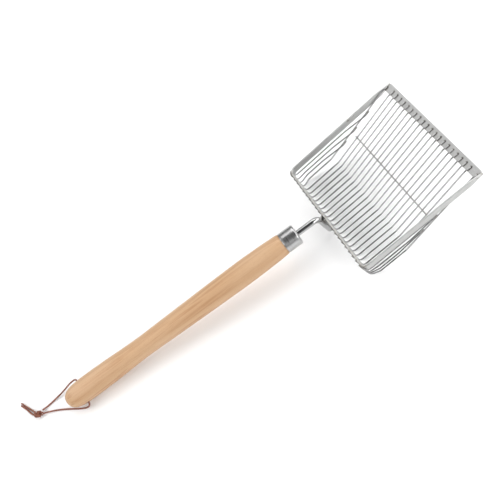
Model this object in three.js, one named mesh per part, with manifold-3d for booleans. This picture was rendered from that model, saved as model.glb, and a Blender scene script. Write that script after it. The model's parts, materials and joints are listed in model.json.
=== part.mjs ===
// Beach sand scoop: a wire basket with a flat lip, carried by a steel neck rod
// in a turned wooden handle, with a leather lanyard through the butt.
// Millimetres. +Z up, +Y from the handle towards the digging lip, +X to the right of a person
// holding the handle and looking along it. The part lies as it rests on the ground: on the
// heel of the basket and on the butt of the handle, opening up.
import * as THREE from 'three';
import * as BufferGeometryUtils from 'three/addons/utils/BufferGeometryUtils.js';
import Module from 'manifold-3d';

const wasm = await Module();
wasm.setup();

// ---- driving dimensions -------------------------------------------------
const WIRE_R = 0.85;            // round wire, 1.7 mm
const GAP = 0.3;                // clearance kept between welded pieces

const RIM_HALF = 91.0;          // outer face of each rail, from the middle
const RIM_T = 2.0;              // flat bar thickness
const RIM_H = 10.0;             // flat bar height
const RIM_R = 8.0;              // outer plan radius of the rear corners
const RIM_LEN = 169.0;          // front end of the rails
const RIM_TAPER = 17.0;         // length of the taper at the front end of each rail

const DEPTH = 39.4;             // rim plane to the middle of the bottom wires
const HEEL_R = 4.6;             // bend from the back wall to the bottom
const KNEE_Y = 54.5;            // where the bottom starts to climb
const EDGE_KNEE_Y = 49.5;       // the same on the two outer wires
const PITCH = 7.95;             // spacing of the inner bottom wires
const INNER_WIRES = 20;         // wires between the two outer ones
const EDGE_X = 87.8;            // outer bottom wires, from the middle
const BACK_Y = -2.15;           // middle of the wires where they climb the back wall

const LIP_IN = 158.9;           // lip strip, inner edge
const LIP_OUT = 169.7;          // lip strip, outer edge
const LIP_TOP = -3.1;           // lip strip, upper face
const LIP_T = 1.6;              // lip strip thickness
const LIP_HALF = 88.65;         // half length of the lip strip
const WIRE_END_Y = 164.8;       // wires end half way over the strip
const LIP_WIRE_Z = LIP_TOP + 0.25 + WIRE_R;

const SIDE_Z = [-14.7, -23.2, -30.9];   // the three wires of each side wall
const SIDE_ANG = [40, 27, 14];          // where each climbs round the rear corner, degrees
const EDGE_ANG = 1;                     // the same for the outer bottom wires

const CROSS_Y = 95.0;           // cross wire over the ramp
const CROSS_HALF = 77.6;        // it ends on the first and last inner wire

const ROD_R = 4.0;              // neck rod, 8 mm
const ROD_Y = -7.35;            // middle of the rod where it runs down the back wall
const ROD_BOTTOM = -35.0;       // rounded lower end of the rod
const ROD_BEND = 9.5;           // bend radius of the rod
const AXIS_Z = 6.5;             // height of the handle axis over the rim plane at ROD_Y
const AXIS_RISE = 8.2;          // rise of the handle towards the butt, degrees

const FERRULE_FRONT = 31.4;     // along the handle axis from ROD_Y
const FERRULE_LEN = 21.2;
const FERRULE_OR = 13.9;
const FERRULE_T = 1.5;
const WOOD_LEN = 354.5;         // from the back of the ferrule to the tip of the butt
// wood radius along the handle, from the back of the ferrule
const WOOD_PROFILE = [
  [0.35, 13.6], [2.0, 14.2], [8.0, 14.7], [20.0, 15.3], [42.0, 16.0], [68.0, 16.25], [107.0, 15.85],
  [146.0, 15.25], [186.0, 14.6], [212.0, 14.1], [228.0, 13.95], [246.0, 14.35], [266.0, 15.15],
  [290.0, 15.95], [310.0, 16.3], [330.0, 16.1], [341.4, 15.0], [348.6, 12.6], [352.9, 8.6], [354.5, 3.6],
];
const TENON_R = 12.1;           // wood inside the ferrule
const TANG_DEPTH = 78.0;        // rod inside the wood, from the front of the tenon
const HOLE_AT = 330.2;          // lanyard hole, from the back of the ferrule
const HOLE_TURN = 20.0;         // the hole is drilled this far off level, degrees
const HOLE_R = 2.2;
const CORD_R = 1.1;             // leather cord, 2.2 mm

const REST_TILT = 12.31;        // heel-and-butt rest angle, degrees

// ---- materials ----------------------------------------------------------
const mat = (color, roughness, metalness) => new THREE.MeshStandardMaterial({ color, roughness, metalness });
const steelWire = () => mat(0x8c8c8a, 0.38, 1.0);
const steelBand = () => mat(0xb4b4b0, 0.42, 1.0);
const steelLip = () => mat(0xa4a4a0, 0.48, 1.0);
const steelRod = () => mat(0xc4c4c2, 0.16, 1.0);
const steelFerrule = () => mat(0xb8b8b6, 0.26, 1.0);
const wood = () => mat(0xd9a76b, 0.5, 0.0);
const leather = () => mat(0x6b3324, 0.72, 0.0);

// ---- helpers ------------------------------------------------------------
const V = (x, y, z) => new THREE.Vector3(x, y, z);
const rad = (d) => d * Math.PI / 180;

// A path that puts one section exactly at each given station.
class StationPath extends THREE.Curve {
  constructor(points) { super(); this.points = points; }
  getPoint(t, target = new THREE.Vector3()) {
    const n = this.points.length - 1;
    const k = Math.min(n - 1, Math.max(0, Math.floor(t * n + 1e-9)));
    return target.lerpVectors(this.points[k], this.points[k + 1], Math.min(1, Math.max(0, t * n - k)));
  }
  getPointAt(t, target) { return this.getPoint(t, target); }
  getTangentAt(t, target = new THREE.Vector3()) {
    const n = this.points.length - 1;
    const i = Math.round(t * n);
    const p = this.points;
    const a = i > 0 ? V(0, 0, 0).subVectors(p[i], p[i - 1]).normalize() : null;
    const b = i < n ? V(0, 0, 0).subVectors(p[i + 1], p[i]).normalize() : null;
    if (a && b) return target.addVectors(a, b).normalize();
    return target.copy(a || b);
  }
  getTangent(t, target) { return this.getTangentAt(t, target); }
}

// A polyline with its corners rounded: corners = [[point, radius, arcSteps], ...].
function route(corners) {
  const out = [];
  corners.forEach(([p, r, steps], i) => {
    if (i === 0 || i === corners.length - 1 || !r) { out.push(p.clone()); return; }
    const a = corners[i - 1][0].clone().sub(p).normalize();
    const b = corners[i + 1][0].clone().sub(p).normalize();
    const half = Math.acos(THREE.MathUtils.clamp(a.dot(b), -1, 1)) / 2;
    const cut = r / Math.tan(half);
    const centre = p.clone().add(a.clone().add(b).normalize().multiplyScalar(r / Math.sin(half)));
    const s = p.clone().add(a.clone().multiplyScalar(cut)).sub(centre);
    const e = p.clone().add(b.clone().multiplyScalar(cut)).sub(centre);
    const ang = s.angleTo(e);
    for (let k = 0; k <= steps; k += 1) {
      const w = k / steps;
      out.push(centre.clone()
        .add(s.clone().multiplyScalar(Math.sin((1 - w) * ang) / Math.sin(ang)))
        .add(e.clone().multiplyScalar(Math.sin(w * ang) / Math.sin(ang))));
    }
  });
  return out;
}

// A round bar along a list of stations.
function bar(points, radius, sides) {
  const section = new THREE.Shape();
  for (let i = 0; i < sides; i += 1) {
    const a = (i + 0.5) / sides * 2 * Math.PI;
    const x = radius * Math.cos(a);
    const y = radius * Math.sin(a);
    if (i === 0) section.moveTo(x, y); else section.lineTo(x, y);
  }
  section.closePath();
  return new THREE.ExtrudeGeometry(section, {
    steps: points.length - 1, bevelEnabled: false, extrudePath: new StationPath(points),
  });
}

// To and from a solid that can be cut.
function solid(geometry) {
  const g = geometry.clone();
  Object.keys(g.attributes).forEach((k) => { if (k !== 'position') g.deleteAttribute(k); });
  const m = BufferGeometryUtils.mergeVertices(g, 1e-4);
  const index = Array.from(m.index.array);
  const tris = [];
  for (let i = 0; i < index.length; i += 3) {
    const [a, b, c] = index.slice(i, i + 3);
    if (a !== b && b !== c && a !== c) tris.push(a, b, c);
  }
  return new wasm.Manifold(new wasm.Mesh({
    numProp: 3, vertProperties: new Float32Array(m.attributes.position.array), triVerts: new Uint32Array(tris),
  }));
}
function unsolid(body) {
  const m = body.getMesh();
  const g = new THREE.BufferGeometry();
  g.setAttribute('position', new THREE.Float32BufferAttribute(m.vertProperties, 3));
  g.setIndex(Array.from(m.triVerts));
  return g;
}

const group = new THREE.Group();
group.name = 'sand_scoop';
function add(name, geometry, material) {
  const mesh = new THREE.Mesh(geometry, material);
  mesh.name = name;
  group.add(mesh);
  return mesh;
}

// ---- rim band: one flat bar on edge, bent round the back ------------------
// Section rings follow the bar; each ring is inner/outer by bottom/top.
{
  const path = [];
  const xo = RIM_HALF;
  const c = RIM_HALF - RIM_R;
  const arc = 5;
  path.push({ x: -xo, y: RIM_LEN, nx: -1, ny: 0 });
  path.push({ x: -xo, y: RIM_LEN - RIM_TAPER, nx: -1, ny: 0 });
  for (let i = 0; i <= arc; i += 1) {
    const a = rad(180 + 90 * i / arc);
    path.push({ x: -c + RIM_R * Math.cos(a), y: -1 + RIM_R + RIM_R * Math.sin(a), nx: Math.cos(a), ny: Math.sin(a) });
  }
  for (let i = 0; i <= arc; i += 1) {
    const a = rad(270 + 90 * i / arc);
    path.push({ x: c + RIM_R * Math.cos(a), y: -1 + RIM_R + RIM_R * Math.sin(a), nx: Math.cos(a), ny: Math.sin(a) });
  }
  path.push({ x: xo, y: RIM_LEN - RIM_TAPER, nx: 1, ny: 0 });
  path.push({ x: xo, y: RIM_LEN, nx: 1, ny: 0 });
  const n = path.length;
  const pos = [];
  path.forEach((p, i) => {
    const end = i === 0 || i === n - 1;
    const top = end ? LIP_TOP + 0.1 : 0;
    const bottom = end ? LIP_TOP - LIP_T - 0.6 : -RIM_H;
    const ix = p.x - p.nx * RIM_T;
    const iy = p.y - p.ny * RIM_T;
    pos.push([p.x, p.y, bottom], [p.x, p.y, top], [ix, iy, top], [ix, iy, bottom]);
  });
  const idx = [];
  for (let i = 0; i < n - 1; i += 1) {
    for (let k = 0; k < 4; k += 1) {
      const a = i * 4 + k;
      const b = i * 4 + (k + 1) % 4;
      const d = a + 4;
      const e = b + 4;
      idx.push(a, d, b, b, d, e);
    }
  }
  idx.push(0, 1, 2, 0, 2, 3);
  const m = (n - 1) * 4;
  idx.push(m, m + 2, m + 1, m, m + 3, m + 2);
  const g = new THREE.BufferGeometry();
  g.setAttribute('position', new THREE.Float32BufferAttribute(pos.flat(), 3));
  g.setIndex(idx);
  add('rim_band', g, steelBand());
}

// ---- lip strip: flat bar across the front, between the rails --------------
{
  const s = new THREE.Shape();
  const ch = 1.2;
  s.moveTo(-LIP_HALF, LIP_IN);
  s.lineTo(LIP_HALF, LIP_IN);
  s.lineTo(LIP_HALF, LIP_OUT - ch);
  s.lineTo(LIP_HALF - ch, LIP_OUT);
  s.lineTo(-LIP_HALF + ch, LIP_OUT);
  s.lineTo(-LIP_HALF, LIP_OUT - ch);
  s.closePath();
  const g = new THREE.ExtrudeGeometry(s, { depth: LIP_T, bevelEnabled: false });
  g.translate(0, 0, LIP_TOP - LIP_T);
  add('lip_strip', g, steelLip());
}

// ---- basket wires ---------------------------------------------------------
const rampSlope = (kneeY) => (DEPTH + LIP_WIRE_Z) / (LIP_IN - 2.2 - kneeY);
const bottomWire = (x, kneeY) => route([
  [V(x, BACK_Y, -0.4)],
  [V(x, BACK_Y, -DEPTH), HEEL_R, 3],
  [V(x, kneeY, -DEPTH), 14, 2],
  [V(x, LIP_IN - 2.2, LIP_WIRE_Z), 8, 2],
  [V(x, WIRE_END_Y, LIP_WIRE_Z)],
]);
for (let i = 0; i < INNER_WIRES; i += 1) {
  const x = (i - (INNER_WIRES - 1) / 2) * PITCH;
  add(`bottom_wire_${String(i + 1).padStart(2, '0')}`, bar(bottomWire(x, KNEE_Y), WIRE_R, 6), steelWire());
}

// Wires that climb the back wall round its corner.
const cornerC = RIM_HALF - RIM_R;
const cornerPoint = (side, ang, extra) => {
  const r = RIM_R + GAP + WIRE_R + extra;
  return [side * (cornerC + r * Math.sin(rad(ang))), -1 + RIM_R - r * Math.cos(rad(ang))];
};
for (const [label, side] of [['left', -1], ['right', 1]]) {
  const [ex, ey] = cornerPoint(side, EDGE_ANG, 0);
  add(`bottom_wire_${label}_edge`, bar(route([
    [V(ex, ey, -0.4)],
    [V(ex, ey, -DEPTH), HEEL_R, 3],
    [V(side * EDGE_X, ey + 12, -DEPTH), 10, 1],
    [V(side * EDGE_X, EDGE_KNEE_Y, -DEPTH), 14, 2],
    [V(side * EDGE_X, LIP_IN - 2.2, LIP_WIRE_Z), 8, 2],
    [V(side * EDGE_X, WIRE_END_Y - 1.5, LIP_WIRE_Z)],
  ]), WIRE_R, 6), steelWire());
  SIDE_Z.forEach((z, k) => {
    const [sx, sy] = cornerPoint(side, SIDE_ANG[k], 0);
    const slope = rampSlope(EDGE_KNEE_Y);
    const endY = EDGE_KNEE_Y + (z + DEPTH) / slope;
    const inX = EDGE_X - 2 * WIRE_R - GAP;
    add(`side_wire_${label}_${k + 1}`, bar(route([
      [V(sx, sy, -0.4)],
      [V(sx, sy, z), HEEL_R, 3],
      [V(side * (EDGE_X + 1.0), sy + 14, z), 10, 1],
      [V(side * (EDGE_X + 1.0), endY - 34, z), 40, 1],
      [V(side * inX, endY + 1.0, z), 4, 1],
      [V(side * inX, endY + 7.5, z + 6.5 * slope)],
    ]), WIRE_R, 6), steelWire());
  });
}

// Cross wire, laid on the ramp wires.
{
  const slope = rampSlope(KNEE_Y);
  const n = Math.hypot(1, slope);
  const lift = 2 * WIRE_R + 0.25;
  const z = -DEPTH + (CROSS_Y - KNEE_Y) * slope;
  add('cross_wire', bar([
    V(-CROSS_HALF, CROSS_Y - lift * slope / n, z + lift / n),
    V(CROSS_HALF, CROSS_Y - lift * slope / n, z + lift / n),
  ], WIRE_R, 8), steelWire());
}

// ---- handle axis ----------------------------------------------------------
const axisDir = V(0, -Math.cos(rad(AXIS_RISE)), Math.sin(rad(AXIS_RISE)));
const axisAt = (u) => V(0, ROD_Y, AXIS_Z).add(axisDir.clone().multiplyScalar(u));
// Lathe profiles turn about +Y; this lays them along the handle with +Y towards the butt.
const alongHandle = (g, u) => {
  g.applyMatrix4(new THREE.Matrix4().makeRotationFromQuaternion(
    new THREE.Quaternion().setFromUnitVectors(V(0, 1, 0), axisDir)));
  const p = axisAt(u);
  g.translate(p.x, p.y, p.z);
  return g;
};

const ferruleBack = FERRULE_FRONT + FERRULE_LEN;

// Neck rod: tang in the wood, out through the ferrule, down the back wall, rounded tip.
{
  const tangEnd = FERRULE_FRONT + FERRULE_T + GAP + TANG_DEPTH;
  const tip = ROD_BOTTOM + ROD_R;
  const g = bar(route([
    [axisAt(tangEnd)],
    [V(0, ROD_Y, AXIS_Z), ROD_BEND, 6],
    [V(0, ROD_Y, tip)],
    [V(0, ROD_Y, tip - 0.5 * ROD_R)],
    [V(0, ROD_Y, tip - 0.82 * ROD_R)],
    [V(0, ROD_Y, tip - 0.97 * ROD_R)],
  ]), ROD_R, 16);
  const p = g.attributes.position;
  for (let i = 0; i < p.count; i += 1) {
    const h = (tip - p.getZ(i)) / ROD_R;
    if (h > 0.01) {
      const k = Math.sqrt(Math.max(0, 1 - h * h));
      p.setX(i, p.getX(i) * k);
      p.setY(i, ROD_Y + (p.getY(i) - ROD_Y) * k);
    }
  }
  add('neck_rod', g, steelRod());
}

// Ferrule: a drawn cup with a hole for the rod.
{
  const o = FERRULE_OR;
  const i = FERRULE_OR - FERRULE_T;
  const h = ROD_R + GAP;
  const prof = [
    [h, 0], [o - 1.8, 0], [o - 0.6, 0.5], [o, 1.8], [o, FERRULE_LEN - 0.5], [o - 0.4, FERRULE_LEN],
    [i, FERRULE_LEN], [i, 1.5], [h, 1.5], [h, 0],
  ].map(([r, y]) => new THREE.Vector2(r, y));
  add('ferrule', alongHandle(new THREE.LatheGeometry(prof, 40), FERRULE_FRONT), steelFerrule());
}

// Handle: turned wood, blind bore for the tang, tenon inside the ferrule, cross hole in the butt.
{
  const front = -(FERRULE_LEN - FERRULE_T - GAP);
  const bore = ROD_R + GAP;
  const prof = [
    [0, front + TANG_DEPTH + 1.0], [bore, front + TANG_DEPTH + 1.0], [bore, front], [TENON_R - 0.8, front],
    [TENON_R, front + 0.8], [TENON_R, 0.35],
    ...WOOD_PROFILE.map(([u, r]) => [r, u]), [0, WOOD_LEN + 0.25],
  ].map(([r, y]) => new THREE.Vector2(r, y));
  const turned = solid(new THREE.LatheGeometry(prof, 32));
  const drill = new THREE.CylinderGeometry(HOLE_R, HOLE_R, 60, 16);
  drill.rotateZ(Math.PI / 2);
  drill.rotateX(Math.PI / 16);
  drill.rotateY(-rad(HOLE_TURN));
  drill.translate(0, HOLE_AT, 0);
  add('handle', alongHandle(unsolid(turned.subtract(solid(drill))), ferruleBack), wood());
}

// ---- rest pose: heel and butt on the ground, origin under the middle --------
const rest = new THREE.Matrix4().makeRotationX(rad(REST_TILT));
group.children.forEach((m) => m.geometry.applyMatrix4(rest));
const box = new THREE.Box3();
group.children.forEach((m) => { m.geometry.computeBoundingBox(); box.union(m.geometry.boundingBox); });
const shift = V(-(box.min.x + box.max.x) / 2, -(box.min.y + box.max.y) / 2, -box.min.z);
group.children.forEach((m) => m.geometry.translate(shift.x, shift.y, shift.z));

// ---- leather lanyard, lying on the ground behind the butt -----------------
const place = (p) => p.applyMatrix4(rest).add(shift);
const holeMid = place(axisAt(ferruleBack + HOLE_AT));
const holeDir = V(0, 0, 0)
  .addScaledVector(V(1, 0, 0), Math.cos(rad(HOLE_TURN)))
  .addScaledVector(V(0, Math.sin(rad(AXIS_RISE)), Math.cos(rad(AXIS_RISE))).transformDirection(rest), -Math.sin(rad(HOLE_TURN)));
const holeAt = (d) => holeMid.clone().addScaledVector(holeDir, d);
const KNOT = V(-17.0, -343.4, 4.6);       // middle of the knot
const KNOT_SIZE = [6.4, 5.8, 4.4];        // its half axes

function cord(name, points, steps) {
  const curve = new THREE.CatmullRomCurve3(points, false, 'centripetal');
  const stations = curve.getSpacedPoints(steps);
  add(name, bar(stations, CORD_R, 8), leather());
  return curve.getLength();
}

cord('lanyard_in_hole', [holeAt(-15.1), holeAt(15.1)], 4);
cord('lanyard_leg_left', [
  holeAt(-15.6), holeAt(-17.8), V(-19.6, -270.0, 20.5), V(-21.7, -276.3, 17.1), V(-23.6, -285.0, 11.9),
  V(-24.4, -295.1, 6.5), V(-24.1, -306.3, 2.8), V(-22.8, -317.5, 1.4), V(-21.1, -327.2, 1.4), V(-19.3, -336.5, 3.0),
], 20);
cord('lanyard_leg_right', [
  holeAt(15.6), holeAt(17.2), V(18.1, -268.5, 7.3), V(17.3, -272.4, 4.4), V(14.9, -277.9, 2.1), V(10.8, -285.3, 1.3),
  V(5.1, -295.0, 1.2), V(-2.1, -307.2, 1.2), V(-8.2, -319.4, 1.4), V(-12.2, -329.7, 2.0), V(-14.2, -337.1, 3.2),
], 24);
cord('lanyard_tail_1', [
  V(-22.6, -347.7, 3.2), V(-26.6, -350.5, 2.0), V(-32.2, -354.3, 1.3), V(-39.0, -358.9, 1.2), V(-49.3, -365.6, 1.2),
], 8);
cord('lanyard_tail_2', [
  V(-19.6, -349.9, 3.0), V(-22.9, -352.9, 1.9), V(-28.2, -356.3, 1.3), V(-35.5, -359.9, 1.2), V(-46.1, -366.7, 1.2),
], 8);
{
  const rings = 8;
  const prof = [];
  for (let i = 0; i <= rings; i += 1) {
    const a = Math.PI * i / rings - Math.PI / 2;
    prof.push(new THREE.Vector2(i === 0 || i === rings ? 0 : Math.cos(a), Math.sin(a)));
  }
  const g = new THREE.LatheGeometry(prof, 16);
  g.rotateX(Math.PI / 2);
  g.scale(...KNOT_SIZE);
  g.rotateZ(rad(35));
  g.translate(KNOT.x, KNOT.y, KNOT.z);
  add('lanyard_knot', g, leather());
}

export default group;
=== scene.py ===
import bpy, bmesh, json, math
import numpy as np
from mathutils import Vector, Matrix, noise

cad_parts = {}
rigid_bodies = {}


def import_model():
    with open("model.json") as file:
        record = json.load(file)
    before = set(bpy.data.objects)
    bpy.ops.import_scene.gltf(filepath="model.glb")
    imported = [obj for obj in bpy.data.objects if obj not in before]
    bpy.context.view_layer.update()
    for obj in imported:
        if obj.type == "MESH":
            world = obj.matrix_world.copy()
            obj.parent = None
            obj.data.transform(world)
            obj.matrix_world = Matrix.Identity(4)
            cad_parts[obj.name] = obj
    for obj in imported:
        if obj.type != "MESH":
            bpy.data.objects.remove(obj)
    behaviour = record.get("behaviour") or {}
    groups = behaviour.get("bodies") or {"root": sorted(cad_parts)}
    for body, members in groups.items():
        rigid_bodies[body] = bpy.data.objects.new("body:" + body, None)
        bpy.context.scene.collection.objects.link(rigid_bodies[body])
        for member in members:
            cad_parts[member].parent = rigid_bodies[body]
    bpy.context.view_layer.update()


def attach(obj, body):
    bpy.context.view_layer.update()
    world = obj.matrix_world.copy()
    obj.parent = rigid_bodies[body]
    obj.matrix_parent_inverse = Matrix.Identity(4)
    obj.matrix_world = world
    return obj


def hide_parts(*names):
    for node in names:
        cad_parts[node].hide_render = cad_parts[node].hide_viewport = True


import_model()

MM = 0.001

# ---------------------------------------------------------------- camera
scene = bpy.context.scene
ROT = ((0.44351, 0.825356, -0.349406), (0.70617, -0.561861, -0.430848), (-0.55192, -0.055651, -0.832031))
EYE = (0.40399, 0.06550, 0.67981)
cam_data = bpy.data.cameras.new("camera")
cam_data.sensor_width = 36.0
cam_data.lens = 43.2
cam_data.clip_start = 0.01
cam_data.clip_end = 50.0
cam = bpy.data.objects.new("camera", cam_data)
scene.collection.objects.link(cam)
right, up, back = Vector(ROT[0]), -Vector(ROT[1]), -Vector(ROT[2])
back.normalize(); right = (right - back * right.dot(back)).normalized(); up = back.cross(right)
m = Matrix((right, up, back)).transposed().to_4x4()
m.translation = Vector(EYE)
cam.matrix_world = m
scene.camera = cam

# ---------------------------------------------------------------- sizes, as in the CAD model (mm)
WIRE_R = 0.85
RIM_HALF, RIM_T, RIM_H, RIM_R, RIM_LEN, RIM_TAPER = 91.0, 2.0, 10.0, 8.0, 169.0, 17.0
DEPTH, HEEL_R, KNEE_Y, EDGE_KNEE_Y = 39.4, 4.6, 54.5, 49.5
PITCH, INNER, EDGE_X, BACK_Y = 7.95, 20, 87.8, -2.15
LIP_IN, LIP_OUT, LIP_TOP, LIP_T, LIP_HALF, WIRE_END_Y = 158.9, 169.7, -3.1, 1.6, 88.65, 164.8
LIP_WIRE_Z = LIP_TOP + 0.25 + WIRE_R
SIDE_Z, SIDE_ANG, EDGE_ANG = (-14.7, -23.2, -30.9), (40, 27, 14), 1
CROSS_Y, CROSS_HALF = 95.0, 77.6
ROD_R, ROD_Y, ROD_BOTTOM, ROD_BEND, AXIS_Z, AXIS_RISE = 4.0, -7.35, -35.0, 9.5, 6.5, 8.2
FERRULE_FRONT, FERRULE_LEN, FERRULE_OR, FERRULE_T = 31.4, 21.2, 13.9, 1.5
WOOD_LEN, TENON_R, TANG_DEPTH, HOLE_AT, HOLE_TURN, HOLE_R, CORD_R = 354.5, 12.1, 78.0, 330.2, 20.0, 2.2, 1.1
WOOD_PROFILE = [
    (0.35, 13.6), (2.0, 14.2), (8.0, 14.7), (20.0, 15.3), (42.0, 16.0), (68.0, 16.25), (107.0, 15.85),
    (146.0, 15.25), (186.0, 14.6), (212.0, 14.1), (228.0, 13.95), (246.0, 14.35), (266.0, 15.15),
    (290.0, 15.95), (310.0, 16.3), (330.0, 16.1), (341.4, 15.0), (348.6, 12.6), (352.9, 8.6), (354.5, 3.6)]
TILT = math.radians(12.31)
SHIFT_Y, SHIFT_Z = 124.03877, 38.86276


def place(p):
    """Basket coordinates in mm to the frame in mm."""
    x, y, z = p
    return Vector((x, y * math.cos(TILT) - z * math.sin(TILT) + SHIFT_Y,
                   y * math.sin(TILT) + z * math.cos(TILT) + SHIFT_Z))


def unplace_y(q):
    """How far forward in the basket a point of the frame lies."""
    return (q.y - SHIFT_Y) * math.cos(TILT) + (q.z - SHIFT_Z) * math.sin(TILT)


def turn(d):
    x, y, z = d
    return Vector((x, y * math.cos(TILT) - z * math.sin(TILT), y * math.sin(TILT) + z * math.cos(TILT)))


BR = math.radians(AXIS_RISE)
AX_DIR = turn((0, -math.cos(BR), math.sin(BR)))
AX_UP = turn((0, math.sin(BR), math.cos(BR)))
AX_0 = place((0, ROD_Y, AXIS_Z))
FERRULE_BACK = FERRULE_FRONT + FERRULE_LEN


def axis_at(u):
    return AX_0 + AX_DIR * u


# ---------------------------------------------------------------- small geometry kit
def smoothstep(a, b, x):
    t = min(1.0, max(0.0, (x - a) / (b - a)))
    return t * t * (3 - 2 * t)


def route(corners):
    out = []
    for i, c in enumerate(corners):
        p, r, steps = (Vector(c[0]), c[1], c[2]) if len(c) == 3 else (Vector(c[0]), 0, 0)
        if i == 0 or i == len(corners) - 1 or not r:
            out.append(p)
            continue
        a = (Vector(corners[i - 1][0]) - p).normalized()
        b = (Vector(corners[i + 1][0]) - p).normalized()
        half = math.acos(max(-1, min(1, a.dot(b)))) / 2
        cut = r / math.tan(half)
        centre = p + (a + b).normalized() * (r / math.sin(half))
        s, e = p + a * cut - centre, p + b * cut - centre
        ang = s.angle(e)
        for k in range(steps + 1):
            w = k / steps
            out.append(centre + s * (math.sin((1 - w) * ang) / math.sin(ang)) + e * (math.sin(w * ang) / math.sin(ang)))
    return out


def resample(points, step):
    """Adds points along straight runs, so that attributes and bumps have somewhere to sit."""
    out = [points[0]]
    for a, b in zip(points, points[1:]):
        n = max(1, int(round((b - a).length / step)))
        for k in range(1, n + 1):
            out.append(a.lerp(b, k / n))
    return out


def spline(points, n):
    """Centripetal Catmull-Rom through the points, n even steps along its length."""
    P = [Vector(p) for p in points]
    P = [P[0] * 2 - P[1]] + P + [P[-1] * 2 - P[-2]]
    fine = []
    for i in range(1, len(P) - 2):
        p0, p1, p2, p3 = P[i - 1], P[i], P[i + 1], P[i + 2]
        t0 = 0.0
        t1 = t0 + max(1e-6, (p1 - p0).length) ** 0.5
        t2 = t1 + max(1e-6, (p2 - p1).length) ** 0.5
        t3 = t2 + max(1e-6, (p3 - p2).length) ** 0.5
        for k in range(24):
            t = t1 + (t2 - t1) * k / 24
            a1 = p0 * ((t1 - t) / (t1 - t0)) + p1 * ((t - t0) / (t1 - t0))
            a2 = p1 * ((t2 - t) / (t2 - t1)) + p2 * ((t - t1) / (t2 - t1))
            a3 = p2 * ((t3 - t) / (t3 - t2)) + p3 * ((t - t2) / (t3 - t2))
            b1 = a1 * ((t2 - t) / (t2 - t0)) + a2 * ((t - t0) / (t2 - t0))
            b2 = a2 * ((t3 - t) / (t3 - t1)) + a3 * ((t - t1) / (t3 - t1))
            fine.append(b1 * ((t2 - t) / (t2 - t1)) + b2 * ((t - t1) / (t2 - t1)))
    fine.append(P[-2])
    cum = [0.0]
    for a, b in zip(fine, fine[1:]):
        cum.append(cum[-1] + (b - a).length)
    out, j = [], 0
    for k in range(n + 1):
        d = cum[-1] * k / n
        while j < len(cum) - 2 and cum[j + 1] < d:
            j += 1
        w = (d - cum[j]) / max(1e-9, cum[j + 1] - cum[j])
        out.append(fine[j].lerp(fine[j + 1], min(1, max(0, w))))
    return out


def new_mesh(name, verts, faces, flow=None, tint=None, smooth=True, sharp_deg=None):
    """verts in mm. flow is a vector per vertex (along, around, free) in mm; tint is a number per vertex."""
    me = bpy.data.meshes.new(name)
    me.from_pydata([tuple(v * MM) for v in verts], [], faces)
    if flow is not None:
        at = me.attributes.new("flow", "FLOAT_VECTOR", "POINT")
        at.data.foreach_set("vector", np.array([tuple(f) for f in flow], dtype=np.float32).ravel())
    if tint is not None:
        at = me.attributes.new("tint", "FLOAT", "POINT")
        at.data.foreach_set("value", np.array(tint, dtype=np.float32))
    bm = bmesh.new(); bm.from_mesh(me)
    bmesh.ops.recalc_face_normals(bm, faces=bm.faces)
    if sharp_deg is not None:
        for e in bm.edges:
            if len(e.link_faces) == 2 and e.calc_face_angle(0) > math.radians(sharp_deg):
                e.smooth = False
    for f in bm.faces:
        f.smooth = smooth
    bm.to_mesh(me); bm.free()
    ob = bpy.data.objects.new(name, me)
    scene.collection.objects.link(ob)
    return ob


def tube(name, pts, radius, sides=14, tint_at=None, wobble=0.0, seed=0.0, dome=True, squash=None):
    """A round bar through pts with domed ends. tint_at(point) gives 0..1."""
    n = len(pts)
    tang = []
    for i in range(n):
        a = (pts[i] - pts[i - 1]).normalized() if i else None
        b = (pts[i + 1] - pts[i]).normalized() if i < n - 1 else None
        tang.append((a + b).normalized() if a and b else (a or b))
    ref = Vector((1, 0, 0)) if abs(tang[0].x) < 0.8 else Vector((0, 0, 1))
    nrm = (ref - tang[0] * ref.dot(tang[0])).normalized()
    rings, flow, tint = [], [], []
    d = 0.0
    stations = []
    for i in range(n):
        if i:
            d += (pts[i] - pts[i - 1]).length
            nrm = (nrm - tang[i] * nrm.dot(tang[i])).normalized()
        stations.append((pts[i], tang[i], nrm.copy(), d, 1.0))
    if dome:
        steps = (0.97, 0.87, 0.62, 0.28)
        # domes stay inside the given ends
        first, last = stations[0], stations[-1]
        h0 = [((first[0] + first[1] * radius * 0.55 * (1 - math.sqrt(1 - s * s))), first[1], first[2], 0.0, s) for s in reversed(steps)]
        h1 = [((last[0] - last[1] * radius * 0.55 * (1 - math.sqrt(1 - s * s))), last[1], last[2], last[3], s) for s in steps]
        inner = [st for st in stations[1:-1]
                 if (st[3] > radius * 0.6) and (last[3] - st[3] > radius * 0.6)]
        a0 = (first[0] + first[1] * radius * 0.58, first[1], first[2], radius * 0.58, 1.0)
        a1 = (last[0] - last[1] * radius * 0.58, last[1], last[2], last[3] - radius * 0.58, 1.0)
        stations = h0 + [a0] + inner + [a1] + h1
    verts = []
    for (p, t, nn, dist, s) in stations:
        bb = t.cross(nn)
        for k in range(sides):
            a = 2 * math.pi * k / sides
            r = radius * s
            if wobble:
                r *= 1 + wobble * noise.noise(Vector((dist * 0.35 + seed * 7.1, math.cos(a) * 0.8, math.sin(a) * 0.8)))
            off = nn * math.cos(a) * r + bb * math.sin(a) * r
            verts.append(p + off)
            flow.append((dist + seed * 53.0, math.cos(a) * radius + seed * 11.0, math.sin(a) * radius))
            tint.append(tint_at(p + off) if tint_at else 0.0)
    faces = []
    m_ = len(stations)
    for i in range(m_ - 1):
        for k in range(sides):
            k2 = (k + 1) % sides
            faces.append((i * sides + k, i * sides + k2, (i + 1) * sides + k2, (i + 1) * sides + k))
    faces.append(tuple(range(sides)))
    faces.append(tuple((m_ - 1) * sides + k for k in range(sides)))
    return new_mesh(name, verts, faces, flow, tint)


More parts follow.
